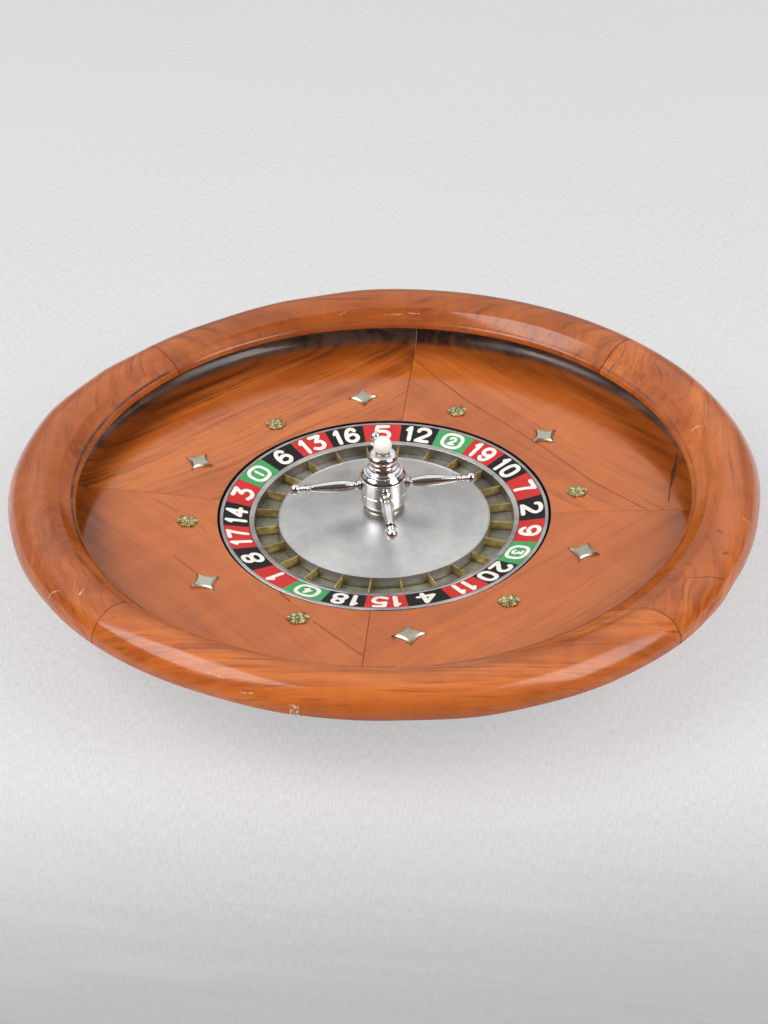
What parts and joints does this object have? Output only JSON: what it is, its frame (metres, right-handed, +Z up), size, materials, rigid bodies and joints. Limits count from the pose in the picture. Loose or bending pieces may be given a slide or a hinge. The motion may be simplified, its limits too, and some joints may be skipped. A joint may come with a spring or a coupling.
{
  "type": "roulette wheel",
  "caption": "Wooden roulette wheel: a round bowl with a rounded rim and ball track, a turning rotor with number ring and fretted pockets, and a chrome turret with turned arms",
  "frame": {"origin": "centre of the base board's underside, on the table", "axes": "+Z up along the spindle, -Y toward the front in the picture, +X to the right"},
  "size_m": [0.7849, 0.7849, 0.1451],
  "materials": {
    "rim_wood": "polished, worn",
    "apron_wood": "polished, cracked with age",
    "base_wood": "satin",
    "pale_brass": "nickel-washed, satin",
    "brass": "dull",
    "steel": "satin",
    "grey_metal": "worn",
    "cone_metal": "satin, scratched",
    "enamel": "painted cells in red, black and green",
    "chrome": "bright",
    "ivory_resin": "gloss"
  },
  "bodies": {
    "bowl": {"base_board": "base_wood", "bearer_ring": "base_wood", "bowl_panel_1": "apron_wood", "bowl_panel_2": "apron_wood", "bowl_panel_3": "apron_wood", "bowl_panel_4": "apron_wood", "rim_segment_1": "rim_wood", "rim_segment_2": "rim_wood", "rim_segment_3": "rim_wood", "rim_segment_4": "rim_wood", "diamond_1": "pale_brass", "diamond_2": "pale_brass", "diamond_3": "pale_brass", "diamond_4": "pale_brass", "diamond_5": "pale_brass", "diamond_6": "pale_brass", "rosette_1": "brass", "rosette_2": "brass", "rosette_3": "brass", "rosette_4": "brass", "rosette_5": "brass", "rosette_6": "brass", "spindle_flange": "steel", "spindle": "steel", "thrust_washer": "brass", "flange_screw_1": "steel", "flange_screw_2": "steel", "flange_screw_3": "steel", "flange_screw_4": "steel"},
    "rotor": {"rotor_disc": "base_wood", "rotor_hub": "steel", "ring_bed": "base_wood", "trim_ring": "grey_metal", "number_ring": "enamel", "lip_ring": "grey_metal", "pocket_pan": "grey_metal", "fret_strip_1": "brass", "fret_strip_2": "brass", "fret_strip_3": "brass", "fret_strip_4": "brass", "cone_cover": "cone_metal", "turret_base": "brass", "turret_hub": "chrome", "turret_cap": "chrome", "ball_seat": "brass", "turret_arm_1": "chrome", "turret_arm_2": "chrome", "turret_arm_3": "chrome", "turret_arm_4": "chrome"},
    "ball": {"ball": "ivory_resin"}
  },
  "joints": [
    {"name": "rotor_spin", "type": "hinge", "parent": "bowl", "child": "rotor", "pos_m": [0, 0, 0.054], "axis": [0, 0, 1], "continuous": true},
    {"name": "ball_lift", "type": "slide", "parent": "rotor", "child": "ball", "axis": [0, 0, 1], "range_m": [0, 0.06]}
  ]
}
